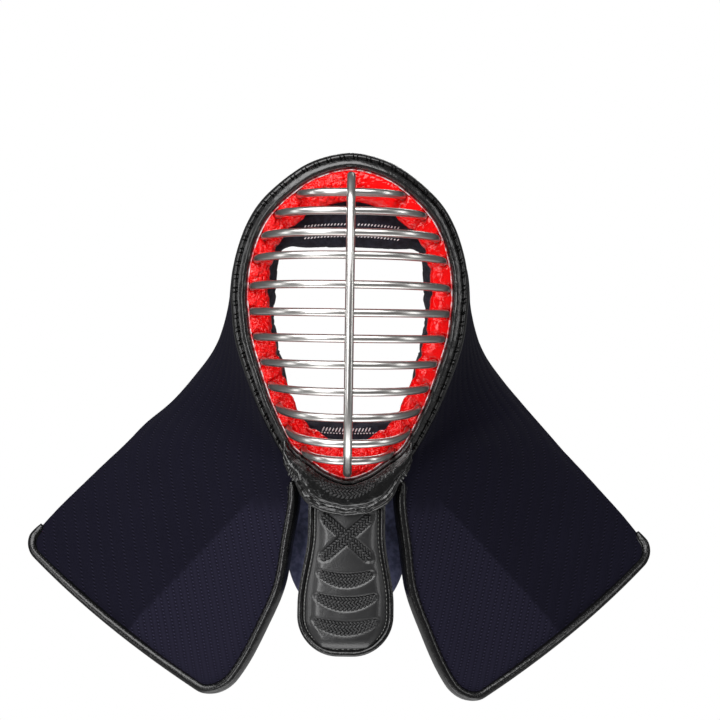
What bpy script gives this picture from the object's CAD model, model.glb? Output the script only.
import math

import bmesh
import bpy
import numpy as np
from mathutils import Matrix, Vector, noise


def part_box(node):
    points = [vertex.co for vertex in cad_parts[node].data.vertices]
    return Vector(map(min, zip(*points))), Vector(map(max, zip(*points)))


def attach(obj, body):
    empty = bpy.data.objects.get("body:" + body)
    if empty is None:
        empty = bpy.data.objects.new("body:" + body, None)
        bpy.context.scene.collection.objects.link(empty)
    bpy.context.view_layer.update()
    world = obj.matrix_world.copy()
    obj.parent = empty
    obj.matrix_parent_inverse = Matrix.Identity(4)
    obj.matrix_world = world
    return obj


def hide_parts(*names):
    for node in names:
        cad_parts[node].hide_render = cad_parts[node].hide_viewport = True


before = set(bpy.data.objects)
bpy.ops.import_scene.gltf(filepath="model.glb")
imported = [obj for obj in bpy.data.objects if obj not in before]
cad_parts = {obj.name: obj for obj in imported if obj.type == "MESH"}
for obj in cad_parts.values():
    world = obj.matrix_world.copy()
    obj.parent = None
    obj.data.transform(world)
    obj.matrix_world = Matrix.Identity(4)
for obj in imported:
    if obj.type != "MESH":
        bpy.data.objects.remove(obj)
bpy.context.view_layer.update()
mm = 0.001
degree = math.pi / 180
gap = 0.4

# The solids are laid out in millimetres from the eye line, so the pieces here are too.
# opening is the outer edge of the red facing, hood the quilted cloth, rim the black leather round the face.
opening = dict(
    halfWidth=75.6, above=104, below=120.6, sweep=12,
    rows=[  # across, level
        (0, 1), (0.267, 0.96), (0.485, 0.876), (0.743, 0.71), (0.886, 0.543), (0.976, 0.327), (1, 0.128),
        (0.989, 0), (0.947, -0.177), (0.8, -0.463), (0.705, -0.606), (0.59, -0.75), (0.505, -0.828),
        (0.362, -0.893), (0.2, -0.962), (0, -1)],
)
rim = dict(
    width=11, crest=7.2, wall=1.5, flange=17, under=2.2, seat=1.6,
    lip=[(-1, -3.2), (-0.9, -4.9), (0.2, -6.5)],  # out, back
    section=[  # across, how far to the front
        (0.18, 1), (0.3, 0.94), (0.42, 0.84), (0.54, 0.69), (0.6, 0.5), (0.66, 0.62), (0.77, 0.62),
        (0.89, 0.45), (0.98, 0.12)],
)
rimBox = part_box("leather_rim")
eyeLine = Vector((0, rimBox[0].y / mm + rim["crest"], rimBox[1].z / mm - opening["above"] - rim["width"]))


def mix(a, b, share):
    return a + (b - a) * share


def ease(x, low, high):
    t = np.clip((x - low) / (high - low), 0, 1)
    return t * t * (3 - 2 * t)


def smooth(values, at):  # the value at a fractional row of a list, on a smooth curve
    values = np.asarray(values, float)
    last = len(values) - 1
    i = int(min(max(math.floor(at), 0), last - 1))
    t = at - i
    b, c = values[i], values[i + 1]
    a = values[i - 1] if i > 0 else 2 * b - c
    d = values[i + 2] if i < last - 1 else 2 * c - b
    return b + 0.5 * t * (c - a + t * (2 * a - 5 * b + 4 * c - d + t * (3 * (b - c) + d - a)))


def foldedTurn(turn):
    whole = (turn + 90) % 360 - 90
    return 180 - whole if whole > 90 else whole


def outlineReach(rows, halfWidth, above, below):  # distance from the middle to an outline, by direction
    points = [(a * halfWidth, l * (above if l > 0 else below)) for a, l in rows]
    points = [(-points[1][0], points[1][1])] + points + [(-points[-2][0], points[-2][1])]
    samples = [smooth(points, 1 + i / 12) for i in range(12 * (len(rows) - 1) + 1)]
    turns = [math.atan2(z, max(x, 0)) / degree for x, z in samples][::-1]
    reaches = [math.hypot(x, z) for x, z in samples][::-1]
    return lambda turn: float(np.interp(foldedTurn(turn), turns, reaches))


faceReach = outlineReach(opening["rows"], opening["halfWidth"], opening["above"], opening["below"])


def ringPoint(turn, out, back):  # from the opening's edge, at a direction round the face
    reach = faceReach(turn)
    across = math.cos(turn * degree)
    sweep = opening["sweep"] * (reach * across / opening["halfWidth"]) ** 2
    return np.array(((reach + out) * across, back + sweep, (reach + out) * math.sin(turn * degree)))


def smoothLoop(points, perSide):  # a closed smooth line through the points of a section
    points = np.asarray(points, float)
    n = len(points)
    out = []
    for i in range(n):
        a, b, c, d = points[i - 1], points[i], points[(i + 1) % n], points[(i + 2) % n]
        for k in range(perSide):
            t = k / perSide
            out.append(b + 0.5 * t * (c - a + t * (2 * a - 5 * b + 4 * c - d + t * (3 * (b - c) + d - a))))
    return np.array(out)


def gridNormals(grid, aroundRows, aroundColumns):
    def step(axis, around):
        if around:
            return np.roll(grid, -1, axis) - np.roll(grid, 1, axis)
        return np.gradient(grid, axis=axis)
    n = np.cross(step(0, aroundRows), step(1, aroundColumns))
    return n / np.maximum(np.linalg.norm(n, axis=2, keepdims=True), 1e-9)


def gridFaces(rows, columns, aroundRows, aroundColumns, start=0):
    down, across = rows if aroundRows else rows - 1, columns if aroundColumns else columns - 1
    i, j = np.meshgrid(np.arange(down), np.arange(across), indexing="ij")
    i2, j2 = (i + 1) % rows, (j + 1) % columns
    corners = [i * columns + j, i * columns + j2, i2 * columns + j2, i2 * columns + j]
    return (np.stack(corners, -1) + start).reshape(-1, 4)


def tubeFaces(rows, columns, start=0):
    first, last = start, start + (rows - 1) * columns
    ends = [[first + k for k in range(columns)][::-1], [last + k for k in range(columns)]]
    return gridFaces(rows, columns, False, True, start).tolist() + ends


def lengthsAlong(grid, axis=0):  # how far each point is along its line
    steps = np.linalg.norm(np.diff(grid, axis=axis), axis=-1)
    return np.concatenate([np.zeros_like(np.take(steps, [0], axis)), np.cumsum(steps, axis=axis)], axis)


def unit(vectors):
    return vectors / np.linalg.norm(vectors, axis=-1, keepdims=True)


def circle(count):
    return np.linspace(0, 2 * math.pi, count + 1)[:-1]


def facingOut(normals, column):  # towards the front, judged by one column of points
    return normals if np.mean(normals[:, column, 1]) < 0 else -normals


def placed(name, data):
    made = bpy.data.objects.new(name, data)
    bpy.context.scene.collection.objects.link(made)
    return made


# points are in millimetres from the eye line
def meshPiece(name, points, faces, material, attributes=None, uv=None):
    me = bpy.data.meshes.new(name)
    points = (np.asarray(points, float).reshape(-1, 3) + np.array(eyeLine)) * mm
    me.from_pydata(points.tolist(), [], [list(map(int, f)) for f in faces])
    me.validate()
    me.update()
    bm = bmesh.new()
    bm.from_mesh(me)
    if sum(f.calc_area() * f.calc_center_median().dot(f.normal) for f in bm.faces) < 0:
        for f in bm.faces:
            f.normal_flip()
    bm.to_mesh(me)
    bm.free()
    for key, values in (attributes or {}).items():
        layer = me.attributes.new(key, "FLOAT", "POINT")
        layer.data.foreach_set("value", np.asarray(values, np.float32).ravel())
    if uv is not None:
        uv = np.asarray(uv, np.float32).reshape(-1, 2)
        layer = me.uv_layers.new(name="cloth")
        corners = np.empty(len(me.loops), np.int32)
        me.loops.foreach_get("vertex_index", corners)
        layer.data.foreach_set("uv", uv[corners].ravel())
    me.shade_smooth()
    me.materials.append(material)
    return placed(name, me)


def tubePiece(name, grid, material):  # a long tube, closed at both ends
    grid = np.asarray(grid)
    return meshPiece(name, grid, tubeFaces(*grid.shape[:2]), material)


def twoSided(name, front, rear, material, attributes=None, uv=None):  # a closed piece from its two faces
    rows, columns = front.shape[:2]
    n = rows * columns
    faces = gridFaces(rows, columns, False, False).tolist()
    faces += gridFaces(rows, columns, False, False, n)[:, ::-1].tolist()
    loop = [i * columns for i in range(rows)]
    loop += [(rows - 1) * columns + j for j in range(1, columns)]
    loop += [i * columns + columns - 1 for i in range(rows - 2, -1, -1)]
    loop += range(columns - 2, 0, -1)
    faces += [[a, a + n, b + n, b][::-1] for a, b in zip(loop, loop[1:] + loop[:1])]
    points = np.concatenate([front.reshape(-1, 3), rear.reshape(-1, 3)])
    return meshPiece(name, points, faces, material, attributes, uv)


# the cover is cut a little larger than the pad, so its shrink is negative
stuffing = dict(pressure=12.0, frames=20, quality=5, mass=0.05, stretch=4.0, shear=2.0, bend=0.05, shrink=-0.06)


def inflate(piece, sewn, reach):  # the stuffing pushes the cloth out between its seams
    scene = bpy.context.scene
    group = piece.vertex_groups.new(name="sewn")
    for i, hold in enumerate(np.ravel(sewn)):
        group.add([i], float(hold), "REPLACE")
    cloth = piece.modifiers.new("cloth", "CLOTH")
    cover = cloth.settings
    cover.quality, cover.mass = stuffing["quality"], stuffing["mass"]
    cover.use_pressure, cover.uniform_pressure_force = True, stuffing["pressure"]
    cover.vertex_group_mass = "sewn"
    cover.effector_weights.gravity = 0
    cover.tension_stiffness = cover.compression_stiffness = stuffing["stretch"]
    cover.shear_stiffness, cover.bending_stiffness = stuffing["shear"], stuffing["bend"]
    cover.shrink_min = stuffing["shrink"]
    for frameNumber in range(1, stuffing["frames"] + 1):
        scene.frame_set(frameNumber)
    swollen = piece.evaluated_get(bpy.context.evaluated_depsgraph_get()).data
    before, after = np.empty(len(piece.data.vertices) * 3), np.empty(len(swollen.vertices) * 3)
    piece.data.vertices.foreach_get("co", before)
    swollen.vertices.foreach_get("co", after)
    piece.modifiers.remove(cloth)
    piece.vertex_groups.remove(group)
    scene.frame_set(1)
    push = (after - before).reshape(-1, 3)
    far = np.linalg.norm(push, axis=1, keepdims=True)
    push *= np.minimum(1, reach * mm / np.maximum(far, 1e-9))
    piece.data.vertices.foreach_set("co", before + push.ravel())
    piece.data.update()


def settle(piece, slot, *nodes):  # the piece stands for these nodes and takes its finish from the slot
    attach(piece, "root")
    if nodes:
        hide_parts(*nodes)


class Socket:  # its sums and products become Math nodes
    def __init__(self, finish, socket):
        self.finish, self.socket = finish, socket

    def math(self, operation, *values):
        return self.finish.value("ShaderNodeMath", dict(operation=operation), values)

    def __add__(self, other): return self.math("ADD", self, other)
    def __radd__(self, other): return self.math("ADD", self, other)
    def __sub__(self, other): return self.math("SUBTRACT", self, other)
    def __rsub__(self, other): return self.math("SUBTRACT", other, self)
    def __mul__(self, other): return self.math("MULTIPLY", self, other)
    def __rmul__(self, other): return self.math("MULTIPLY", self, other)
    def sine(self): return self.math("SINE", self)
    def size(self): return self.math("ABSOLUTE", self)
    def least(self, other): return self.math("MINIMUM", self, other)

    def spread(self, low, high, newLow=0.0, newHigh=1.0):  # map a range to another, clamped
        return self.finish.value(
            "ShaderNodeMapRange", dict(interpolation_type="SMOOTHSTEP"), [self, low, high, newLow, newHigh])


class Finish:  # a material, and the nodes that feed its Principled shader
    def __init__(self, name):
        self.material = bpy.data.materials.new(name)
        self.material.use_nodes = True
        self.tree = self.material.node_tree
        self.shader = self.tree.nodes["Principled BSDF"]

    def give(self, target, value):  # a link, a colour or a number
        if isinstance(value, Socket):
            value = value.socket
        if hasattr(value, "links"):
            self.tree.links.new(value, target)
        else:
            target.default_value = (*value, 1) if isinstance(value, tuple) else value

    def node(self, kind, settings=None, values=(), output=0):
        made = self.tree.nodes.new(kind)
        for key, value in (settings or {}).items():
            setattr(made, key, value)
        sockets = [s for s in made.inputs if s.enabled]
        for key, value in values.items() if isinstance(values, dict) else enumerate(values):
            self.give(made.inputs[key] if isinstance(key, str) else sockets[key], value)
        return made.outputs[output]

    def value(self, kind, settings=None, values=(), output=0):
        return Socket(self, self.node(kind, settings, values, output))

    def place(self):
        return self.node("ShaderNodeTexCoord", output="Object")

    def noise(self, scale, detail=2.0, roughness=0.5):
        return self.value("ShaderNodeTexNoise", {}, {"Vector": self.place(), "Scale": scale, "Detail": detail,
                                                     "Roughness": roughness}, "Fac")

    def cells(self, scale, at=None, randomness=1.0):
        return self.value("ShaderNodeTexVoronoi", {},
                          {"Vector": at or self.place(), "Scale": scale, "Randomness": randomness}, "Distance")

    def attribute(self, name):
        return self.value("ShaderNodeAttribute", dict(attribute_name=name), output="Fac")

    def blend(self, share, a, b):
        return self.node("ShaderNodeMix", dict(data_type="RGBA"), [share, a, b], 2)

    def feed(self, **sockets):  # plain values stand on the shader, the rest is linked
        for key, value in sockets.items():
            self.give(self.shader.inputs[key.replace("_", " ")], value)

    def relief(self, height, distance):
        bump = self.node("ShaderNodeBump", {}, {"Height": height, "Distance": distance})
        self.give(self.shader.inputs["Normal"], bump)


def steelFinish():
    f = Finish("satin steel, red behind")
    drawn = f.noise(40, 2)
    rear = f.attribute("rear").spread(0.42, 0.58)
    bright = f.blend(drawn, (0.5, 0.49, 0.475), (0.6, 0.59, 0.57))
    f.feed(Base_Color=f.blend(rear, bright, (0.55, 0.02, 0.01)), Metallic=1 - rear * 0.9,
           Roughness=drawn * 0.04 + 0.27)
    f.relief(drawn, 0.00001)
    return f.material


def redLeatherFinish():
    f = Finish("lacquered red leather")
    wrinkle = (f.noise(190, 1) - 0.5).size()
    crease = f.attribute("crease")
    patch = f.noise(60, 3)
    red = f.blend(patch, (0.86, 0.001, 0.002), (1.0, 0.004, 0.004))
    lacquer = f.blend((crease * 1.1).least(1.0), red, (0.1, 0.001, 0.001))
    # the black leather is turned in behind the ring
    f.feed(Base_Color=f.blend(f.attribute("wrapped"), lacquer, (0.003, 0.003, 0.0033)),
           Roughness=patch * 0.05 + 0.1, Coat_Weight=0.1, Coat_Roughness=0.05, Specular_IOR_Level=0.38)
    f.relief(wrinkle * f.attribute("crinkled"), 0.0065)
    return f.material


def blackLeatherFinish(name, shine, grain, wear=0.5, crumple=4.0, tone=0.0018, gloss=0.5, coat=0.3):
    f = Finish(name)
    pebble = f.cells(grain)
    broad = f.noise(70, 3)
    worn = f.noise(150, 4).spread(0.52, 0.75)
    dark, rubbed = (tone, tone, tone * 1.1), (tone + 0.005, tone + 0.0048, tone + 0.0045)
    f.feed(Base_Color=f.blend(worn * wear, dark, rubbed), Roughness=broad * 0.14 + shine,
           Coat_Weight=coat, Coat_Roughness=0.12, Specular_IOR_Level=gloss)
    f.relief(pebble.least(0.6) + f.noise(170, 3) * crumple, 0.00012)
    return f.material


def edgeLacquerFinish():
    f = Finish("worn lacquer edge")
    worn = f.noise(260, 3).spread(0.38, 0.62)
    f.feed(Base_Color=f.blend(worn, (0.75, 0.05, 0.06), (0.85, 0.72, 0.74)), Roughness=worn * 0.1 + 0.15,
           Coat_Weight=0.5, Coat_Roughness=0.05)
    return f.material


# the rows' pitch, the closer one of the lower front, and one stitch
# between the two flap levels, below the eyes, the rows turn from the head's run to the flap's
# the close rows lie below a slanted line, from closeAcross at closeLevel
quilt = dict(
    pitch=10.8, fine=6.2, stitch=2.3, lean=0.26, depth=0.42, onHead=0.975, onFlap=1.14, flapFrom=55, flapTo=135,
    closeAcross=78, closeLevel=149, closeSlope=1.08, closeFrom=30, closeTop=132, closeFull=150,
)


def quiltedFinish():
    f = Finish("row-quilted navy cotton")
    uv = f.node("ShaderNodeUVMap", dict(uv_map="cloth"))
    # both in centimetres
    row, along = [f.value("ShaderNodeSeparateXYZ", {}, [uv], axis) for axis in ("X", "Y")]
    dense = f.attribute("dense")
    wide, tight = [(row * (math.pi * 10 / quilt[pitch])).sine().size() for pitch in ("pitch", "fine")]
    rows = wide * (1 - dense) + tight * dense  # 0 in the channel
    channel = rows.spread(0.0, 0.42, 1.0, 0.0)
    stitch = (along * (2 * math.pi * 10 / quilt["stitch"])).sine().spread(-0.1, 0.5) * channel
    thread = f.node("ShaderNodeCombineXYZ", {}, [row * 11, along * 15, 0.0])
    weave = f.cells(1.0, at=thread, randomness=0.6)
    fuzz = f.noise(1300, 3)
    cloud = f.noise(26, 3)
    navy = f.blend(cloud, (0.0026, 0.0024, 0.006), (0.004, 0.0037, 0.0088))
    lit = f.blend((1 - weave) * 0.5 * fuzz + dense * rows * 0.32, navy, (0.02, 0.0185, 0.036))
    dark = f.blend(channel * 0.85, lit, (0.0012, 0.0012, 0.003))
    f.feed(Base_Color=f.blend(stitch * (0.3 + 0.5 * dense), dark, (0.042, 0.038, 0.075)),
           Roughness=fuzz * 0.1 + 0.86, Sheen_Weight=0.008, Sheen_Roughness=0.5, Specular_IOR_Level=0.06)
    f.relief(rows * 0.4 + (1 - weave) * 0.3 + stitch * 0.5, 0.0007)
    return f.material


def padFinish(name, low, high, scale):
    f = Finish(name)
    place = f.place()
    across, down = [f.value("ShaderNodeTexWave", dict(wave_type="BANDS", bands_direction=axis),
                            {"Vector": place, "Scale": scale, "Distortion": 0.6, "Detail": 1.0}, "Fac")
                    for axis in ("X", "Z")]
    fluff = f.noise(500, 5, 0.7)
    blotch = f.noise(260, 4).spread(0.34, 0.66)
    f.feed(Base_Color=f.blend(blotch * 0.6 + fluff * 0.4, low, high), Roughness=fluff * 0.1 + 0.85,
           Sheen_Weight=0.08, Sheen_Roughness=0.5, Specular_IOR_Level=0.15)
    f.relief(across * down + fluff * 0.7, 0.0005)
    return f.material


def cordFinish(name, low, high, dull=0.36, gloss=0.45):
    f = Finish(name)
    strands = f.noise(1500, 3)
    f.feed(Base_Color=f.blend(strands, low, high), Roughness=strands * 0.2 + dull, Specular_IOR_Level=gloss)
    f.relief(strands, 0.0002)
    return f.material


steel = steelFinish()
redLeather = redLeatherFinish()
rimLeather = blackLeatherFinish("rim leather", 0.2, 620, tone=0.0025, gloss=0.55)
cupLeather = blackLeatherFinish("chin leather", 0.15, 700, crumple=3.6, gloss=0.55)
edgeLacquer = edgeLacquerFinish()
guardLeather = blackLeatherFinish("throat guard leather", 0.34, 820, crumple=2.0, tone=0.0062, gloss=0.65)
bindingLeather = blackLeatherFinish("binding leather", 0.17, 900, 0.2, tone=0.0022, gloss=0.45, coat=0.16)
quiltedCotton = quiltedFinish()
padCotton = padFinish("navy pad cotton", (0.006, 0.007, 0.013), (0.032, 0.035, 0.056), 700)
feltCotton = padFinish("navy felted cotton", (0.036, 0.039, 0.085), (0.13, 0.14, 0.25), 420)
blackCord = cordFinish("black braided cord", (0.004, 0.004, 0.0044), (0.02, 0.02, 0.021), 0.3)
lacingCord = cordFinish("matt lacing cord", (0.0008, 0.0008, 0.0008), (0.002, 0.002, 0.002), 0.8, 0.05)
greyThread = cordFinish("grey edge thread", (0.07, 0.07, 0.066), (0.24, 0.24, 0.23))
paleThread = cordFinish("pale stitching thread", (0.5, 0.5, 0.52), (0.85, 0.85, 0.87))
print("materials ready")


# stitches are laid by Geometry Nodes on points that carry their own directions
def stitchTree():
    tree = bpy.data.node_groups.new("lay stitches", "GeometryNodeTree")
    face = tree.interface
    face.new_socket("Geometry", in_out="INPUT", socket_type="NodeSocketGeometry")
    for name, value in (("Length", 0.003), ("Width", 0.001), ("Height", 0.001), ("Unevenness", 0.12)):
        face.new_socket(name, in_out="INPUT", socket_type="NodeSocketFloat").default_value = value
    face.new_socket("Seed", in_out="INPUT", socket_type="NodeSocketInt").default_value = 7
    face.new_socket("Material", in_out="INPUT", socket_type="NodeSocketMaterial")
    face.new_socket("Geometry", in_out="OUTPUT", socket_type="NodeSocketGeometry")
    nodes, links = tree.nodes, tree.links
    start, end = nodes.new("NodeGroupInput"), nodes.new("NodeGroupOutput")

    def add(kind, settings=None, inputs=None):
        made = nodes.new(kind)
        for key, value in (settings or {}).items():
            setattr(made, key, value)
        for key, value in (inputs or {}).items():
            if hasattr(value, "links"):
                links.new(value, made.inputs[key])
            else:
                made.inputs[key].default_value = value
        return made

    def carried(name, kind="FLOAT_VECTOR"):
        made = add("GeometryNodeInputNamedAttribute", dict(data_type=kind), {"Name": name})
        return made.outputs["Attribute"]

    def maths(operation, a, b):
        return add("ShaderNodeMath", dict(operation=operation), {0: a, 1: b}).outputs[0]

    ball = add("GeometryNodeMeshUVSphere", {}, {"Segments": 8, "Rings": 5, "Radius": 0.5})
    turn = add("FunctionNodeAxesToRotation", dict(primary_axis="X", secondary_axis="Z"),
               {0: carried("along"), 1: carried("up")})
    given = start.outputs
    low, high = [maths(operation, 1.0, given["Unevenness"]) for operation in ("SUBTRACT", "ADD")]
    uneven = add("FunctionNodeRandomValue", dict(data_type="FLOAT"), {"Seed": given["Seed"], 2: low, 3: high})
    longest = maths("MULTIPLY", maths("MULTIPLY", carried("size", "FLOAT"), given["Length"]), uneven.outputs[1])
    shape = add("ShaderNodeCombineXYZ", {}, {0: longest, 1: given["Width"], 2: given["Height"]})
    laid = add("GeometryNodeInstanceOnPoints", {}, {"Points": given["Geometry"], "Instance": ball.outputs[0],
                                                    "Rotation": turn.outputs[0], "Scale": shape.outputs[0]})
    real = add("GeometryNodeRealizeInstances", {}, {0: laid.outputs[0]})
    soft = add("GeometryNodeSetShadeSmooth", {}, {0: real.outputs[0]})
    done = add("GeometryNodeSetMaterial", {}, {"Geometry": soft.outputs[0], "Material": given["Material"]})
    links.new(done.outputs[0], end.inputs[0])
    return tree


layStitches = stitchTree()


def stitches(name, marks, length, width, height, material, seed):  # a mark: place, along, up, size
    me = bpy.data.meshes.new(name)
    me.from_pydata([tuple((np.asarray(m[0]) + np.array(eyeLine)) * mm) for m in marks], [], [])
    vector, number = ("FLOAT_VECTOR", "vector"), ("FLOAT", "value")
    for column, key, (kind, field) in ((1, "along", vector), (2, "up", vector), (3, "size", number)):
        values = np.array([mark[column] for mark in marks], np.float32)
        me.attributes.new(key, kind, "POINT").data.foreach_set(field, values.ravel())
    holder = placed(name + "_points", me)
    modifier = holder.modifiers.new("stitches", "NODES")
    modifier.node_group = layStitches
    ids = {s.name: s.identifier for s in layStitches.interface.items_tree if s.in_out == "INPUT"}
    for key, value in (("Length", length * mm), ("Width", width * mm), ("Height", height * mm), ("Seed", seed),
                       ("Material", material)):
        modifier[ids[key]] = value
    graph = bpy.context.evaluated_depsgraph_get()
    made = bpy.data.meshes.new_from_object(holder.evaluated_get(graph))
    made.name = name
    bpy.data.objects.remove(holder)
    return placed(name, made)


grille = dict(
    barHeight=5.8, barDepth=5, clear=1.9, seat=2.5, depth=56, squareness=2.3, pitch=17,
    postWidth=6.4, postDepth=6, postTop=6.6,
    bars=[  # level, rise
        (0.807, 0.06), (0.668, 0.12), (0.515, 0.15), (0.357, 0.18), (0.169, 0.12), (0, 0), (-0.149, 0),
        (-0.296, -0.03), (-0.439, -0.12), (-0.565, -0.29), (-0.696, -0.44), (-0.818, -0.33)],
    dome=[  # down, out
        (0, 0), (0.04, 0.34), (0.1, 0.56), (0.2, 0.75), (0.35, 0.9), (0.5, 0.97), (0.65, 1), (0.8, 0.94),
        (0.9, 0.76), (0.96, 0.46), (1, 0.05)],
)


def openingLevel(share):
    return share * (opening["above"] if share > 0 else opening["below"])


def domeOut(level):
    down = np.clip((opening["above"] - level) / (opening["above"] + opening["below"]), 0, 1)
    downs = [row for row, _ in grille["dome"]]
    i = 0
    while i < len(downs) - 2 and downs[i + 1] < down:
        i += 1
    at = i + (down - downs[i]) / (downs[i + 1] - downs[i])
    return grille["depth"] * smooth([out for _, out in grille["dome"]], at)


def barBite(turn):
    across, up = math.cos(turn * degree), abs(math.sin(turn * degree))
    return grille["clear"] + across * grille["barDepth"] / 2 + up * grille["barHeight"] / 2


def barTurn(level):
    low, high = -90.0, 90.0
    for _ in range(40):
        middle = (low + high) / 2
        if (faceReach(middle) - barBite(middle)) * math.sin(middle * degree) < level:
            low = middle
        else:
            high = middle
    return low


barEnds = [(barTurn(openingLevel(level)), openingLevel(level)) for level, _ in grille["bars"]]


def barPath(index, steps=56):
    turn, level = barEnds[index]
    rise = grille["bars"][index][1] * grille["pitch"]
    end = ringPoint(turn, -barBite(turn), grille["seat"])
    middleOut = domeOut(level + rise) - grille["postDepth"] * 0.45
    power = 2 / grille["squareness"]
    a = math.pi * (np.arange(steps + 1) / steps - 0.5)
    bulge = np.maximum(np.cos(a), 0) ** power
    side = np.sign(np.sin(a)) * np.abs(np.sin(a)) ** power
    return np.stack([side * end[0], mix(end[1], -middleOut, bulge), level + rise * bulge], 1)


def postPath(steps=80):
    top, bottom = opening["above"] - grille["postTop"], -(opening["below"] - grille["postTop"])
    levels = [mix(top, bottom, 0.5 - 0.5 * math.cos(math.pi * i / steps)) for i in range(steps + 1)]
    path = [np.array((0, -domeOut(level), level)) for level in levels]
    path[0][1] = path[-1][1] = grille["seat"] - 1
    return np.array(path)


def rod(path, wide, deep, across, sides=16):
    along = unit(np.gradient(path, axis=0))
    out = unit(np.cross(np.broadcast_to(across, along.shape), along))
    a = 2 * math.pi * np.arange(sides) / sides
    return (path[:, None] + across * (wide / 2 * np.cos(a))[None, :, None] +
            out[:, None] * (deep / 2 * np.sin(a))[None, :, None])


def makeGrille():
    points, faces, rear = [], [], []
    count = 0
    rods = [(postPath(), grille["postWidth"], grille["postDepth"], np.array((1.0, 0, 0)))]
    for i in range(len(barEnds)):
        rods.append((barPath(i), grille["barHeight"], grille["barDepth"], np.array((0, 0, 1.0))))
    for path, wide, deep, across in rods:
        grid = rod(path, wide, deep, across)
        # the back of each rod, towards the face, is lacquered red
        off = grid - path[:, None]
        behind = off[..., 1] / (deep / 2) + 0.25 * np.abs(off[..., 0]) / deep
        rear.append((behind * 0.5 + 0.42).ravel())
        faces += tubeFaces(*grid.shape[:2], count)
        points.append(grid.reshape(-1, 3))
        count += len(points[-1])
    piece = meshPiece("grille_bars", np.concatenate(points), faces, steel, {"rear": np.concatenate(rear)})
    settle(piece, "steel", "grille")


makeGrille()
print("grille ready")

bead = dict(radius=0.5, out=-1.75, back=-3.9)
facing = dict(
    side=16.5, ends=23, front=4.6, back=10, scallop=1.6, crinkle=0.75, pinch=1.6, pocket=4.2, puffed=5.5,
    section=[  # across, how far to the front
        (0.16, 0.9), (0.4, 1.02), (0.66, 0.82), (0.9, 0.25)],
)


def facingWidth(turn):
    return mix(facing["side"], facing["ends"], abs(math.sin(turn * degree)) ** 6)


def wrinkled(p):  # the leather's swells, folds and fine creases
    swell = noise.noise(p * 0.16) * 0.9 + noise.noise(p * 0.42 + Vector((9, 3, 1))) * 0.55
    fold = abs(noise.noise(Vector((p.x * 0.2, p.y * 0.3 + 7, p.z * 0.26)))) ** 0.8
    fine = abs(noise.noise(p * 0.36 + Vector((2, 5, 1)))) ** 0.8
    return swell * 0.6 + 1.3 * fold + 1.1 * fine - 0.7


def makeFacing():
    turns = np.arange(0, 360, 0.5)
    ends = sorted([t for t, _ in barEnds] + [180 - t for t, _ in barEnds])
    grid, crease, wrapped = [], [], []
    for turn in turns:
        # how far it is to the nearest bar end, along the ring
        near = min(abs((turn - t + 180) % 360 - 180) for t in ends) * degree * faceReach(turn)
        puff = float(ease(near, 0, facing["puffed"]))
        width = facingWidth(turn) + facing["scallop"] * (puff - 0.5)
        front, back = -facing["front"] * mix(0.55, 1.06, puff), facing["back"]
        face = [(-width * across, front * proud) for across, proud in facing["section"]]
        section = smoothLoop([
            (rim["seat"], 2), (-0.6, front * 0.4), *face, (-width, back * 0.35), (-width * 0.9, back * 0.92),
            (-width * 0.5, back), (rim["seat"], back)], 5)
        grid.append([ringPoint(turn, out, back) for out, back in section])
        crease.append([(1 - puff) * 0.2] * len(section))
        wrapped.append([float(ease(out, -4, -2) * ease(back, 1, 2.2)) for out, back in section])
    grid = np.array(grid)
    outward = facingOut(gridNormals(grid, True, True), 10)
    frontShare = np.clip(-outward[..., 1], 0, 1)
    lift = facing["crinkle"] * np.array([[wrinkled(Vector(p)) for p in row] for row in grid])
    # the left and the chin are the most wrinkled
    crinkled = np.maximum(ease(-grid[..., 0], -25, 15), ease(-grid[..., 2], 45, 85)) * 0.88 + 0.12
    lift *= 0.5 + 0.5 * crinkled
    # keep the leather clear of the rim at its outer edge
    reach = np.array([faceReach(t) for t in turns])[:, None]
    radius = np.linalg.norm(grid[..., [0, 2]], axis=2)
    free = ease(reach - radius, 0.2, 3)
    grid = grid + outward * (lift * free * (0.25 + 0.75 * frontShare))[..., None]
    # a dimple round each bar end
    for turn, _ in barEnds:
        end = ringPoint(turn, -barBite(turn), 0)
        for side in (1, -1):
            away = np.hypot(grid[..., 0] - side * end[0], grid[..., 2] - end[2])
            grid[..., 1] += facing["pinch"] * np.exp(-(away / facing["pocket"]) ** 2) * (frontShare > 0.2)
            crease = np.maximum(crease, 0.45 * np.exp(-(away / 2.6) ** 2))
    piece = meshPiece("red_leather_facing", grid, gridFaces(*grid.shape[:2], True, True), redLeather,
                      {"crease": crease, "crinkled": crinkled, "wrapped": np.array(wrapped)})
    settle(piece, "red_leather", "red_facing")

    # the worn bead where the lacquer meets the rim
    a = circle(10)
    across, back = bead["out"] + bead["radius"] * np.cos(a), bead["back"] + bead["radius"] * np.sin(a)
    ring = np.array([[ringPoint(t, *at) for at in zip(across, back)] for t in np.arange(0, 360, 0.75)])
    settle(meshPiece("facing_bead", ring, gridFaces(*ring.shape[:2], True, True), edgeLacquer), "red_leather")


makeFacing()
print("facing ready")

# inner and outer: the ends of a lace, across the rim and how far to the front; none between the chin's turns
lacing = dict(step=9.6, pair=2.9, lace=(3.8, 1.25, 1.6), middle=0.72, inner=(0.52, 0.72), outer=(0.82, 0.6),
              chin=(-88, -66))


def rimFlange(turn):
    return mix(rim["under"] + 0.1, rim["flange"], float(ease(foldedTurn(turn), -36, 2)))


def rimSection(turn):
    w, back = rim["width"], rimFlange(turn)
    face = [(w * across, -rim["crest"] * proud) for across, proud in rim["section"]]
    return [*rim["lip"], *face, (w, back * 0.35), (w, back), (w - rim["wall"], back),
            (w - rim["wall"], rim["under"]), (rim["seat"] + gap, rim["under"] - 1)]


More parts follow.
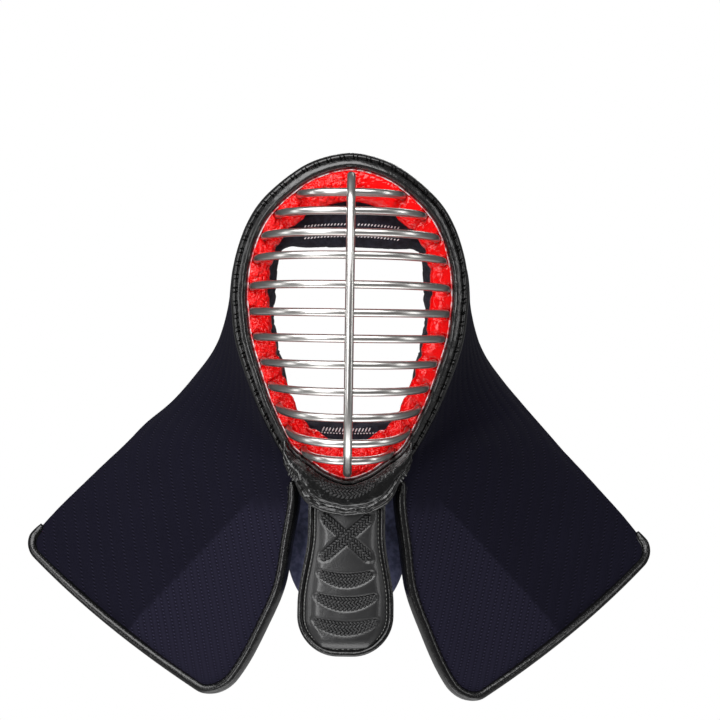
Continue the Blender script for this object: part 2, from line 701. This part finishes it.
def makeRim():
    turns = np.arange(0, 360, 1.0)
    grid = np.array([[ringPoint(t, out, back) for out, back in smoothLoop(rimSection(t), 4)] for t in turns])
    normals = facingOut(gridNormals(grid, True, True), 12)
    lift = np.array([[noise.noise(Vector(p) * 0.12) * 0.3 + noise.noise(Vector(p) * 0.4) * 0.12 for p in row]
                     for row in grid])
    grid = grid + normals * (lift * np.clip(-normals[..., 1], 0, 1))[..., None]
    piece = meshPiece("rim_leather", grid, gridFaces(*grid.shape[:2], True, True), rimLeather)
    settle(piece, "black_leather", "leather_rim")

    # pairs of short laces on the outer band
    fineTurns = np.arange(0, 360, 0.25)
    middle = rim["width"] * lacing["middle"]
    length = lengthsAlong(np.array([ringPoint(t, middle, 0) for t in fineTurns]))
    marks = []
    at = 0.0
    while at < length[-1] - 2:
        for shift in (-lacing["pair"] / 2, lacing["pair"] / 2):
            turn = float(np.interp(at + shift, length, fineTurns))
            if not lacing["chin"][0] < foldedTurn(turn) < lacing["chin"][1]:
                inner, outer = [ringPoint(turn, rim["width"] * across, -rim["crest"] * proud)
                                for across, proud in (lacing["inner"], lacing["outer"])]
                along = unit(outer - inner)
                ahead = unit(ringPoint(turn + 0.5, middle, 0) - ringPoint(turn, middle, 0))
                up = np.cross(along, ahead)
                up = up if up[1] < 0 else -up
                marks.append(((inner + outer) / 2 + up * 0.15, along + 0.35 * ahead, up, 1.0))
        at += lacing["step"]
    settle(stitches("rim_lacing", marks, *lacing["lace"], lacingCord, 3), "braid_cord")


makeRim()
print("rim ready")

hood = dict(
    thickness=7.2, edge=5.2, halfWidth=93, depth=178, rearTop=97, throatHalfGap=36.5,
    frontReach={-1: 92, 1: 87}, length={-1: 163, 1: 166},
    rearReach={-1: 251, 1: 240}, rearDrop=185, corner=17, endBow=5, spacing=2.2, widest=5.4,
    head=[  # turn, rearAcross, rearBack, rearLevel, lead, bow
        (90, 0, 1, 1, 1, 0.11), (72, 0.33, 1, 0.96, 1, 0.1), (54, 0.62, 0.995, 0.84, 1, 0.08),
        (36, 0.83, 0.985, 0.63, 1, 0.06), (18, 0.95, 0.965, 0.37, 1, 0.045), (0, 1, 0.935, 0.1, 1, 0.035),
        (-18, 1.06, 0.9, -0.1, 1, 0.03), (-36, 1.16, 0.855, -0.28, 0.9, 0.03),
        (-52, 1.31, 0.815, -0.44, 0.7, 0.03), (-66, 1.5, 0.775, -0.61, 0.5, 0.035)],
    flap=[  # frontAcross, frontDown, frontBack, rearAcross, rearBack, rearDown, bow
        (0.03, 0, 0.03, 0.42, 0.735, 0.49, 0.04), (0, 0.1, 0.02, 0.52, 0.7, 0.58, 0.045),
        (0.08, 0.28, 0.02, 0.63, 0.675, 0.67, 0.05), (0.175, 0.48, 0.02, 0.735, 0.65, 0.758, 0.05),
        (0.405, 0.67, 0.022, 0.835, 0.63, 0.844, 0.05), (0.66, 0.84, 0.025, 0.92, 0.61, 0.925, 0.045),
        (1, 1, 0.03, 1, 0.59, 1, 0.04)],
)
clothOut = rim["seat"] + gap * 2.2 + hood["edge"] / 2
clothStart = rim["under"] + 2.4
clothEnd = len(hood["head"]) + len(hood["flap"]) - 1


def clothTables(side):
    turns, fronts, rears, leads, bows = [], [], [], [], []
    for turn, across, back, level, lead, bow in hood["head"]:
        turns.append(turn)
        fronts.append(ringPoint(turn, clothOut, clothStart))
        rears.append((across * hood["halfWidth"], back * hood["depth"],
                      level * (hood["rearTop"] if level > 0 else opening["below"])))
        leads.append(lead)
        bows.append(bow * hood["depth"])
    for across, down, back, rearAcross, rearBack, rearDown, bow in hood["flap"]:
        fronts.append((mix(hood["throatHalfGap"], hood["frontReach"][side], across), back * hood["depth"],
                       -(opening["below"] + down * hood["length"][side])))
        rears.append((mix(hood["halfWidth"], hood["rearReach"][side], rearAcross), rearBack * hood["depth"],
                      -rearDown * hood["rearDrop"]))
        leads.append(0)
        bows.append(bow * hood["depth"])
    mirror = lambda p: (-p[0], p[1], p[2])
    fronts = [mirror(fronts[1])] + fronts
    rears = [mirror(rears[1])] + rears
    return turns, np.array(fronts), np.array(rears), [leads[1]] + leads, [bows[1]] + bows


clothTable = {side: clothTables(side) for side in (-1, 1)}


def clothRow(side, at, shares):  # the cloth's middle surface across one station, from front to rear
    turns, fronts, rears, leads, bows = clothTable[side]

    def frontAt(a):
        if a > len(turns) - 1:
            return smooth(fronts, a + 1)
        return ringPoint(float(smooth(turns, a)), clothOut, clothStart)

    front, rear = frontAt(at), smooth(rears, at + 1)
    chord = rear - front
    along = frontAt(at + 0.1) - frontAt(at - 0.1) + smooth(rears, at + 1.1) - smooth(rears, at + 0.9)
    outward = unit(np.cross(along, chord))
    bow = float(smooth(bows, at + 1))
    lead = min(max(float(smooth(leads, at + 1)), 0), 1)
    onChord = front + chord / 3 + outward * bow
    straight = front + np.array((0, np.linalg.norm(chord) / 3, 0))
    nearFront = mix(onChord, straight, lead)
    nearRear = front + chord * 2 / 3 + outward * bow
    s = np.asarray(shares, float)[:, None]
    t = 1 - s
    line = front * t ** 3 + nearFront * 3 * s * t * t + nearRear * 3 * s * s * t + rear * s ** 3
    swell = float(ease(at, clothEnd - 5, clothEnd)) * hood["endBow"] * 4 * s * t
    line = line + unit(along) * swell
    line[:, 0] *= side
    return line


def clothStations(side):  # each with how far it is drawn in at the flap's rounded corners
    ends = np.linspace(0, clothEnd, 120)
    middle = np.array([clothRow(side, a, [0.5])[0] for a in ends])
    run = lengthsAlong(middle)
    count = int(run[-1] / hood["spacing"])
    stations = np.interp(np.linspace(0, run[-1], count + 1), run, ends).tolist()
    first, second = clothRow(side, clothEnd, [0, 1]), clothRow(side, clothEnd - 1, [0, 1])
    rowLength = np.linalg.norm(first - second, axis=1).mean()
    endWidth = np.linalg.norm(first[0] - first[1])
    arc = hood["corner"] / rowLength
    stations = [a for a in stations if a < clothEnd - arc]
    out = [(a, 0.0) for a in stations]
    for angle in np.linspace(0, 90, 15):
        fromEnd = hood["corner"] * (1 - math.sin(angle * degree))
        out.append((clothEnd - fromEnd / rowLength, hood["corner"] * (1 - math.cos(angle * degree)) / endWidth))
    return out


def clothShares():
    fine = [0, 0.0025, 0.006, 0.012]
    return np.array(fine + np.linspace(0.02, 0.98, 86).tolist() + [1 - f for f in fine[::-1]])


def clothGrid():
    shares = clothShares()
    left = [(-1, a, inset) for a, inset in clothStations(-1)][::-1]
    right = [(1, a, inset) for a, inset in clothStations(1)][1:]
    stations = left + right
    rows = [clothRow(side, a, mix(inset, 1 - inset, shares)) for side, a, inset in stations]
    return stations, np.array(rows)


def makeHood():
    stations, middle = clothGrid()
    normals = gridNormals(middle, False, False)
    if normals[len(stations) // 2, 40, 2] < 0:
        normals = -normals
    fromFront = lengthsAlong(middle, 1)
    fromRear = fromFront[:, -1:] - fromFront
    run = lengthsAlong(middle)
    fromEnd = np.minimum(run, run[-1:] - run)
    edge = np.minimum(np.minimum(fromFront, fromRear), fromEnd)
    # quilting rows: straight lines on the cloth, nearly upright on the flaps
    widest = abs(clothRow(1, hood["widest"], [0])[0][0])
    base = [abs(row[0][0]) if a > hood["widest"] else widest for row, (_, a, _) in zip(middle, stations)]
    onHead = quilt["onHead"] * (np.array(base)[:, None] + fromFront)
    onFlap = quilt["onFlap"] * np.abs(middle[..., 0])
    measure = mix(onHead, onFlap, ease(-middle[..., 2], quilt["flapFrom"], quilt["flapTo"]))
    row = measure - quilt["lean"] * middle[..., 2]
    along = np.abs(run - run[len(stations) // 2][None])
    # the dense rows of the flap's lower front
    across, below = np.abs(middle[..., 0]), -middle[..., 2]
    line = across - quilt["closeAcross"] + (quilt["closeLevel"] - below) / quilt["closeSlope"]
    dense = ease(-line, -0.6, 0.6) * (across > quilt["closeFrom"])
    dense *= ease(below, quilt["closeTop"], quilt["closeFull"])
    pitch = np.where(dense > 0.5, quilt["fine"], quilt["pitch"])
    puff = np.abs(np.sin(math.pi * row / pitch)) ** 0.6
    body = mix(hood["edge"], hood["thickness"], ease(edge, 6.5, 13))
    relief = (puff - 1) * quilt["depth"] * mix(0.35, 1, ease(edge, 4, 12)) * np.where(dense > 0.5, 0.62, 1)
    wave = np.array([[noise.noise(Vector(p) * 0.022) for p in r] for r in middle])
    rounding = np.sqrt(np.clip(1 - (1 - np.clip(edge / (hood["edge"] / 2), 0, 1)) ** 2, 0.02, 1))
    half = (body / 2 + relief) * rounding
    sway = wave * 1.4 * ease(edge, 8, 40) * ease(np.abs(middle[..., 2] + 40), 20, 90)
    outer = middle + normals * (half + sway)[..., None]
    inner = middle - normals * (half - sway)[..., None]
    uv = np.stack([row / 10, along / 10], -1).reshape(-1, 2)  # in centimetres
    piece = twoSided("quilted_cloth", outer, inner, quiltedCotton, {"dense": np.tile(dense.ravel(), 2)},
                     np.concatenate([uv, uv]))
    settle(piece, "quilted_cloth", "quilted_hood")
    return stations, middle, normals


hoodStations, hoodMiddle, hoodNormals = makeHood()
print("hood ready")

# thread: the length, width and height of a stitch
binding = dict(
    width=5.6, wall=1.3, clearance=0.8, reach=1.15, guardWidth=2.8, stitch=3.2, inset=0.78, lift=2.1,
    thread=(2.1, 0.55, 0.45),
)


def spaced(points, spacing):  # which points to keep
    keep = [0]
    for k in range(1, len(points)):
        if np.linalg.norm(points[k] - points[keep[-1]]) > spacing:
            keep.append(k)
    return keep


def strip(edge, outs, normals, sheet, width):  # a folded strip, puffed into a roll, over an edge
    half = sheet / 2 + binding["clearance"]
    crest = half + binding["wall"] + 0.16 * width
    b = binding["wall"] * 0.9
    middle, bend = (b - width) / 2, (b + width) / 2 + 0.1
    roll = [(middle + bend * math.cos(t * degree), crest - bend * (1 - math.sin(t * degree)))
            for t in (168, 145, 120, 95, 70, 45, 20)]
    lip = sheet / 2 + 0.15  # the folded edge lies on the cloth
    section = [(-width, lip)] + roll + [(u, -v) for u, v in roll[::-1]]
    section += [(-width, -lip), (gap, -half * 0.8), (gap, half * 0.8)]
    section = smoothLoop(section, 2)
    run = lengthsAlong(edge)
    grid = []
    for p, out, n, far in zip(edge, outs, normals, np.minimum(run, run[-1] - run)):
        full = 0.5 + 0.5 * math.sqrt(float(ease(far, -0.5, 10)))  # the ends are skived thin
        ripple = (1 + 0.03 * noise.noise(Vector(p) * 0.2)) * (0.5 + 0.5 * full)
        grid.append([p + out * u * full + n * v * ripple for u, v in section])
    return np.array(grid)


def edgeFrame(points, normals, inside):  # along an edge, and out of it
    along = unit(np.gradient(points, axis=0))
    outs = unit(np.cross(along, normals))
    return along, outs * -np.sign(np.sum(outs * (inside - points), axis=1, keepdims=True))


def flapBinding(side):
    columns = hoodMiddle.shape[1]
    order = [i for i, (s, _, _) in enumerate(hoodStations) if s == side or hoodStations[i][1] == 0]
    order = order if side > 0 else order[::-1]
    first = next(k for k, i in enumerate(order) if hoodStations[i][1] >= len(hood["head"]))
    last = order[-1]
    back = [i for i in order[:-1] if hoodStations[i][1] > clothEnd - binding["reach"]]
    inward = 6
    # a point of the edge and one further in
    picked = [(i, 0, i, inward) for i in order[first:-1]]
    picked += [(last, j, order[-2 * inward], j) for j in range(columns)]
    picked += [(i, columns - 1, i, columns - 1 - inward) for i in back[::-1]]
    points = np.array([hoodMiddle[i, j] for i, j, _, _ in picked])
    keep = spaced(points, 1.2)
    points = points[keep]
    inside = np.array([hoodMiddle[picked[k][2], picked[k][3]] for k in keep])
    normals = np.array([hoodNormals[picked[k][0], picked[k][1]] for k in keep])
    for _ in range(3):
        normals[1:-1] = (normals[:-2] + normals[1:-1] + normals[2:]) / 3
    normals = unit(normals)
    along, outs = edgeFrame(points, normals, inside)
    grid = strip(points, outs, normals, hood["edge"], binding["width"])
    name = "left" if side < 0 else "right"
    settle(tubePiece(f"binding_{name}", grid, bindingLeather), "black_leather", f"flap_binding_{name}")
    # the line of stitches along the binding's inner edge
    marks = []
    run = 0
    face = np.sign(normals[len(normals) // 3][1]) * -1
    for k in range(1, len(points) - 1):
        run += np.linalg.norm(points[k] - points[k - 1])
        if run > binding["stitch"]:
            run = 0
            up = normals[k] * face
            inset, lift = binding["width"] * binding["inset"], hood["edge"] / 2 + binding["lift"]
            marks.append((points[k] - outs[k] * inset + up * lift, along[k], up, 1.0))
    settle(stitches(f"binding_stitches_{name}", marks, *binding["thread"], blackCord, 5), "braid_cord")


for side in (-1, 1):
    flapBinding(side)
print("bindings ready")

pad = dict(
    halfWidth=54, above=47.5, below=76, depth=24, swell=1.6, thread=(1.0, 1.1, 0.8), bow=0.0016, sunk=0.8,
    proud=[(0, 0.1), (0.6, 0.3), (0.88, 2.2), (0.95, 4.8), (1, 9)],  # across, how far back the front lies
    rows=[(0, 1), (0.5, 0.99), (0.86, 0.93), (0.97, 0.7), (1, 0.25), (0.98, -0.12), (0.88, -0.5), (0.76, -0.8),
          (0.6, -0.95), (0.3, -1), (0, -1)],
    stitched=[  # level, from, to, spacing, length, slant
        (64, -33, -3.6, 2.4, 2.3, 1.4), (64, 5.8, 37, 2.4, 2.3, 1.4), (55.4, -33, -3.6, 2.4, 2.0, 0.9),
        (55.4, 5.8, 37, 2.4, 2.0, 0.9), (-85.5, -18, 16, 2.4, 3.8, 2.2), (-88, -30, 30, 2.2, 1.4, 0)],
)
openingReach = outlineReach(pad["rows"], pad["halfWidth"], pad["above"], pad["below"])


def padWidth(turn):  # before the stuffing swells it
    return faceReach(turn) - openingReach(turn) - pad["swell"]


def makePad():
    turns = np.arange(0, 360, 1.5)
    grid, sewn = [], []
    front, back = facing["back"] + gap * 2, facing["back"] + gap * 2 + pad["depth"]
    for turn in turns:
        w, depth = padWidth(turn), pad["depth"]
        section = smoothLoop([
            (-1.2, front + 0.2), (-w * 0.3, front + 0.1), (-w * 0.6, front + 0.3),
            (-w * 0.88, front + depth * 0.1), (-w, front + depth * 0.42), (-w * 0.94, back - depth * 0.12),
            (-w * 0.7, back), (-w * 0.25, back), (-1.2, back - depth * 0.16)], 5)
        grid.append([ringPoint(turn, out, y) for out, y in section])
        # sewn down where the ring and the hood press on it
        held = [(0.62, 0.74) if y < front + 4 else (0.3, 0.5) for _, y in section]
        sewn.append([1 - float(ease(-out, w * low, w * high)) for (out, _), (low, high) in zip(section, held)])
    grid, sewn = np.array(grid), np.array(sewn)
    piece = meshPiece("face_padding", grid, gridFaces(*grid.shape[:2], True, True), padCotton)
    # the pale machine stitches of the forehead and chin pads
    marks = []
    for level, start, end, spacing, length, slant in pad["stitched"]:
        for x in np.arange(start, end, spacing):
            z = level - pad["bow"] * x * x * np.sign(level)
            turn = math.atan2(z, x) / degree
            out = math.hypot(x, z) - faceReach(turn)
            proud = float(np.interp(-out / padWidth(turn), *zip(*pad["proud"]))) - pad["sunk"]
            marks.append((ringPoint(turn, out, front + proud), (1, 0, slant), (0, -1, 0), length))
    for place, *_ in marks:
        away = np.linalg.norm(grid - np.array(place), axis=2)
        sewn = np.maximum(sewn, 1 - ease(away, 1.5, 4.5))
    inflate(piece, sewn, pad["swell"])
    settle(piece, "pad_cloth", "face_pad")
    settle(stitches("pad_stitches", marks, *pad["thread"], paleThread, 9), "pad_cloth")


makePad()
print("pad ready")

guard = dict(
    halfTop=25.8, halfBottom=32.4, length=113, corner=27, thickness=11, edge=5.2, sweep=5, front=2.6, lean=10,
    flareStart=0.22, flareEnd=0.7, hem=3.2, crown=9, trough=1.15, thread=(1.9, 0.6, 0.5),
)
cup = dict(
    turn=27, drop=24.4, halfBottom=31, wall=3, front=9, bulge=2.5, hem=1.7, tab=(6.4, 2.5, 2.6), foldDepth=1.3,
    foldAt=0.74, foldWidth=0.05,
    rows=[(1.46, -0.62), (1.38, -0.3), (1.2, 0.02), (0.98, 0.56), (0.55, 0.88), (0, 1)],  # across, down
    tabs=[(-0.74, 0.5), (-0.69, 0.3), (-0.64, 0.6), (0.64, -0.5), (0.69, -0.2), (0.75, -0.5)],  # share, lean
)
braids = dict(
    width=6.6, height=1.8, crossHalfWidth=18, crossHalfHeight=15.4, crossDown=29, middle=4.5, tip=1.6, limb=3.5,
    crescents=[  # name, down, half width, sag
        ("upper", 0.485, 0.58, 0.75), ("middle", 0.632, 0.64, 0.75), ("lower", 0.785, 0.69, 0.75)],
)
guardTop = -(opening["below"] + rim["width"] + gap * 2)


def guardHalf(down):
    flare = float(ease(down / guard["length"], guard["flareStart"], guard["flareEnd"]))
    plain = mix(guard["halfTop"], guard["halfBottom"], flare)
    fromEnd = guard["length"] - down
    if fromEnd >= guard["corner"]:
        return plain
    return plain - (guard["corner"] - math.sqrt(guard["corner"] ** 2 - (guard["corner"] - fromEnd) ** 2))


def guardPoint(down, x, forward=0.0):
    back = guard["sweep"] * (x / guard["halfBottom"]) ** 2 - guard["lean"] * down / guard["length"]
    return np.array((x, guard["edge"] / 2 - guard["front"] + back - forward, guardTop - down))


def crescentLine(name):
    _, down, half, sag = next(c for c in braids["crescents"] if c[0] == name)
    half *= guard["halfBottom"]
    sag *= braids["width"]
    return lambda s: (mix(-half, half, s), down * guard["length"] + sag * (1 - (2 * s - 1) ** 2))


def crossLine(slope):
    wide, high, down = braids["crossHalfWidth"], braids["crossHalfHeight"], braids["crossDown"]
    return lambda s: (mix(-wide, wide, s), down + slope * mix(-high, high, s))


def crescentHalf(s):
    return mix(braids["tip"], braids["middle"], math.sin(math.pi * s) ** 0.8)


def limbHalf(s):
    return braids["limb"] * max(0.5, min(1, math.sin(math.pi * s) * 5) ** 0.5)


guardLines = [(crescentLine(c[0]), crescentHalf) for c in braids["crescents"]]
guardLines += [(crossLine(1), limbHalf), (crossLine(-1), limbHalf)]


def guardCrown(inward):  # how full the pad is, by the distance from its edge
    return math.sin(math.pi / 2 * min(max((inward - guard["hem"]) / guard["crown"], 0), 1))


def makeGuard():
    length, corner = guard["length"], guard["corner"]
    downs = np.concatenate([np.linspace(0, length - corner, 110, endpoint=False),
                            length - corner * (1 - np.sin(np.linspace(0, 90, 30) * degree))])
    shares = np.sin(np.linspace(-90, 90, 81) * degree * 0.985) / math.sin(90 * degree * 0.985)
    around = np.array([(*line(s), half(s)) for line, half in guardLines for s in np.linspace(0, 1, 60)])
    front, rear = [], []
    for down in downs:
        half = guardHalf(down)
        frontRow, rearRow = [], []
        for share in shares:
            x = share * half
            full = guardCrown(min(half - abs(x), length - down))
            # the leather is drawn down sharply round each braid
            away = float(np.min(np.hypot(around[:, 0] - x, around[:, 1] - down) - around[:, 2]))
            swell = guard["trough"] * (float(ease(away, -0.6, 1.9)) - 0.45) * full
            swell += 0.4 * noise.noise(Vector((x * 0.07, down * 0.07, 3))) * full
            thick = mix(guard["edge"], guard["thickness"], full) / 2
            frontRow.append(guardPoint(down, x, thick + swell))
            rearRow.append(guardPoint(down, x, -thick))
        front.append(frontRow)
        rear.append(rearRow)
    piece = twoSided("guard_pad", np.array(front), np.array(rear), guardLeather)
    settle(piece, "black_leather", "throat_guard")

    # the binding round its edge
    edge = [guardPoint(d, -guardHalf(d)) for d in downs[:-1]]
    edge += [guardPoint(length, x) for x in np.linspace(-1, 1, 12) * guardHalf(length)]
    edge += [guardPoint(d, guardHalf(d)) for d in downs[:-1][::-1]]
    edge = np.array(edge)
    edge = edge[spaced(edge, 1.0)]
    tilt, bend = -guard["lean"] / length, -2 * guard["sweep"] / guard["halfBottom"] ** 2
    normals = -unit(np.array([(bend * p[0], 1, tilt) for p in edge]))
    along, outs = edgeFrame(edge, normals, guardPoint(length * 0.45, 0))
    grid = strip(edge, outs, normals, guard["edge"], binding["guardWidth"])
    settle(tubePiece("guard_edge", grid, bindingLeather), "black_leather", "throat_guard_binding")

    # fine grey stitches just inside the binding
    lift = mix(guard["edge"], guard["thickness"], guardCrown(guard["hem"] + 0.8)) / 2 + 0.25
    marks = [(edge[k] - outs[k] * (guard["hem"] + 0.7) + normals[k] * lift, along[k], normals[k], 1.0)
             for k in range(2, len(edge) - 2, 2)]
    settle(stitches("guard_thread", marks, *guard["thread"], greyThread, 11), "braid_cord")


def cupPoint(share, down):
    top = ringPoint(-90 + share * cup["turn"], rim["width"] * 0.3, -cup["front"])
    at = (1 - abs(share)) * (len(cup["rows"]) - 1)
    across, low = smooth(cup["rows"], at)
    lowX = math.copysign(1, share) * across * cup["halfBottom"]
    lowZ = -opening["below"] - low * cup["drop"]
    bulge = cup["bulge"] * math.sin(math.pi * down)
    return np.array((mix(top[0], lowX, down), top[1] - bulge, mix(top[2], lowZ, down)))


def makeCup():
    shares, downs = np.linspace(-0.98, 0.98, 120), np.linspace(0, 1, 44)
    middle = np.array([[cupPoint(s, d) for d in downs] for s in shares])
    normals = facingOut(gridNormals(middle, False, False), 20)
    low = ease(downs, 0.5, 0.8)[None]
    crumple = np.array([[noise.noise(Vector((p[0] * 0.16, p[2] * 0.1, 2))) * 0.8 +
                         abs(noise.noise(Vector(p) * 0.33)) * 1.5 - 0.3 for p in row] for row in middle])
    crease = cup["foldAt"] + 0.02 * np.sin(shares * 9)[:, None]
    fold = -cup["foldDepth"] * np.exp(-((downs[None] - crease) / cup["foldWidth"]) ** 2)
    front = middle + normals * (cup["wall"] / 2 + crumple * mix(0.15, 0.85, low) + fold)[..., None]
    piece = twoSided("chin_leather", front, middle - normals * (cup["wall"] / 2), cupLeather)
    settle(piece, "black_leather", "chin_cup")

    # the rolled hem along the lower edge, and the tabs at its corners
    hem = []
    for s in np.linspace(-0.97, 0.97, 110):
        at, inward = cupPoint(s, 1.0), cupPoint(s, 0.9)
        out = unit(at - inward)
        thick = cup["hem"] * (1 + 0.22 * noise.noise(Vector(at) * 0.35))
        hem.append([at + out * (thick * math.cos(t) - 0.6) - np.array((0, thick * 1.15 * math.sin(t), 0))
                    for t in circle(12)])
    settle(tubePiece("chin_hem", hem, cupLeather), "black_leather")
    marks = []
    for share, lean in cup["tabs"]:
        at = cupPoint(share, 0.97) + np.array((0, -cup["hem"] * 0.8, 0))
        marks.append((at, (lean, -0.3, 1), (0, -1, 0), 1.0))
    settle(stitches("corner_tabs", marks, *cup["tab"], cupLeather, 13), "black_leather")


makeGuard()
makeCup()
print("guard ready")


# slanted stitches in rows along a line
def braidMarks(line, halfAt, faceAt, rows, over=0.0, step=2.7):
    marks = []
    shares = np.linspace(0, 1, 400)
    run = lengthsAlong(np.array([line(s) for s in shares]))
    widest = max(halfAt(s) for s in shares)
    for at in np.arange(step * 0.4, run[-1] - step * 0.2, step):
        for k in range(rows):
            s = float(np.interp(at + (k % 2) * step / 2, run, shares))
            half = halfAt(s)
            ahead = unit(np.array(line(min(s + 0.01, 1))) - np.array(line(max(s - 0.01, 0))))
            aside = np.array((-ahead[1], ahead[0]))
            off = (k - (rows - 1) / 2) * 2 / rows
            place = np.array(line(s)) + aside * off * half
            beyond = place + (ahead + aside * 0.8 * (-1) ** k) * 0.4
            proud = braids["height"] * (0.55 - 0.3 * off * off) + over * math.exp(-((s - 0.5) / 0.15) ** 2)
            here, there = faceAt(*place, proud), faceAt(*beyond, proud)
            up = faceAt(*place, proud + 1) - here
            marks.append((here, unit(there - here), up, mix(0.62, 1, half / widest)))
    return marks


def guardFace(x, down, proud):
    return guardPoint(down, x, guard["thickness"] / 2 - 0.5 + proud)


cupShares = np.linspace(-0.5, 0.5, 41)
cupAcross = [cupPoint(s, 0.5)[0] for s in cupShares]


def cupFace(x, down, proud):
    share = float(np.interp(x, cupAcross, cupShares))
    top, low = cupPoint(share, 0), cupPoint(share, 1)
    at = cupPoint(share, (-(opening["below"] + down) - top[2]) / (low[2] - top[2]))
    return np.array((x, at[1] - cup["wall"] / 2 - proud, at[2]))


def makeBraids():
    size = dict(length=4.5, width=1.95, height=1.9, material=blackCord)  # of a strand
    for k, (name, *_) in enumerate(braids["crescents"]):
        marks = braidMarks(crescentLine(name), crescentHalf, guardFace, 4)
        settle(stitches(f"crescent_{name}", marks, seed=20 + k, **size), "braid_cord", f"braid_crescent_{name}")
    cross = braidMarks(crossLine(1), limbHalf, guardFace, 3)
    cross += braidMarks(crossLine(-1), limbHalf, guardFace, 3, 1.0)
    settle(stitches("cross", cross, seed=31, **size), "braid_cord", "braid_cross")
    half = cup["halfBottom"] * 0.62

    def chinLine(s):
        return mix(-half, half, s), cup["drop"] * (0.02 + 0.3 * (1 - (2 * s - 1) ** 2))

    chin = braidMarks(chinLine, crescentHalf, cupFace, 4)
    settle(stitches("chin_crescent", chin, seed=41, **size), "braid_cord", "braid_chin")


makeBraids()
print("braids ready")

tongue = dict(halfWidth=44, length=104, thickness=6, sweep=8, lean=14, neck=0.83, inset=3.6)


def makeTongue():
    top = -(opening["below"] + rim["seat"] + gap)
    frontY = clothStart + tongue["inset"] + tongue["thickness"] / 2
    rows, columns = 60, 40
    front, rear = [], []
    roundOff = tongue["halfWidth"] * 1.16
    for i in range(rows):
        down = tongue["length"] * (1 - (1 - i / (rows - 1)) ** 1.5)
        fromRound = max(down - (tongue["length"] - roundOff), 0) / roundOff
        neck = mix(tongue["neck"], 1, float(ease(down / tongue["length"], 0, 0.4)))
        half = tongue["halfWidth"] * neck * math.sqrt(max(1 - fromRound ** 2, 0.02))
        lean = tongue["lean"] * float(ease(down / tongue["length"], 0, 0.35))
        a, b = [], []
        for j in range(columns):
            share = math.sin((j / (columns - 1) - 0.5) * math.pi)
            x = share * half
            y = frontY + tongue["sweep"] * (x / tongue["halfWidth"]) ** 2 + lean
            inward = min(half - abs(x), tongue["length"] - down)
            t = tongue["thickness"] / 2 * math.sqrt(max(0.03, 1 - (1 - min(inward / 3, 1)) ** 2))
            wave = 0.5 * noise.noise(Vector((x * 0.06, down * 0.06, 8)))
            a.append((x, y - t + wave, top - down))
            b.append((x, y + t + wave, top - down))
        front.append(a)
        rear.append(b)
    piece = twoSided("felt_tongue", np.array(front), np.array(rear), feltCotton)
    settle(piece, "pad_cloth", "throat_tongue")


makeTongue()
print("tongue ready")

view = dict(distance=1300, framing=518.4, aimX=8, aimZ=-34, roll=0.8)
# from here on in metres; glow and room are strengths of light
stage = dict(level=-1.7, radius=5, sides=64, pale=(0.92, 0.92, 0.92), glow=0.12, room=0.13)
lamps = [  # name, place, aim, width and height, power
    ("key", (-0.35, -1.1, 1.15), (0, 0, -0.12), (2.6, 1.0), 46),
    ("side", (1.5, -0.75, 0.25), (0, 0, -0.15), (0.35, 1.3), 5),
    ("front", (-0.75, -1.5, 0.05), (0, 0, -0.15), (0.5, 1.1), 11),
    ("edge", (-1.6, -0.5, -0.1), (0, 0, -0.2), (0.3, 1.2), 4),
    ("below", (0.05, -0.55, -1.25), (0, 0, -0.1), (1.6, 0.7), 9),
    ("rear", (0.3, 1.4, 1.1), (0, 0, -0.1), (1.2, 0.8), 12),
]


def makeCamera():
    eye = eyeLine * mm
    lens = bpy.data.cameras.new("camera")
    lens.sensor_fit = "HORIZONTAL"
    lens.angle = 2 * math.atan(view["framing"] / 2 / view["distance"])
    camera = placed("camera", lens)
    camera.location = eye + Vector((0, -view["distance"] * mm, 0))
    aim = eye + Vector((view["aimX"] * mm, 0, view["aimZ"] * mm))
    turn = (aim - camera.location).to_track_quat("-Z", "Y").to_matrix()
    camera.rotation_euler = (turn @ Matrix.Rotation(view["roll"] * degree, 3, "Z")).to_euler()
    bpy.context.scene.camera = camera


def makeLamps():
    for name, place, aim, size, power in lamps:
        lamp = bpy.data.lights.new(name, "AREA")
        lamp.shape, lamp.energy = "RECTANGLE", power
        lamp.size, lamp.size_y = size
        softbox = placed(name, lamp)
        softbox.location = place
        softbox.rotation_euler = (Vector(aim) - Vector(place)).to_track_quat("-Z", "Y").to_euler()


def makeStage():  # the helmet hangs as on a head, well above the floor
    pale = Finish("pale floor")
    pale.feed(Base_Color=stage["pale"], Emission_Color=(1.0, 1.0, 1.0), Emission_Strength=stage["glow"],
              Roughness=1.0)
    ring = [(stage["radius"] * math.cos(a), stage["radius"] * math.sin(a), stage["level"])
            for a in circle(stage["sides"])]
    me = bpy.data.meshes.new("floor")
    me.from_pydata(ring, [], [list(range(len(ring)))])
    me.materials.append(pale.material)
    floor = placed("floor", me)


def makeRoom():
    world = bpy.data.worlds.new("studio")
    world.use_nodes = True
    nodes, links = world.node_tree.nodes, world.node_tree.links
    seen = nodes.new("ShaderNodeLightPath")  # the room looks white and lights softly
    level = nodes.new("ShaderNodeMapRange")
    level.inputs["To Min"].default_value, level.inputs["To Max"].default_value = stage["room"], 1.0
    links.new(seen.outputs["Is Camera Ray"], level.inputs["Value"])
    links.new(level.outputs[0], nodes["Background"].inputs["Strength"])
    nodes["Background"].inputs["Color"].default_value = (1, 1, 1, 1)
    bpy.context.scene.world = world
    bpy.context.scene.view_settings.view_transform = "Standard"


makeCamera()
makeLamps()
makeStage()
makeRoom()
print("scene ready")
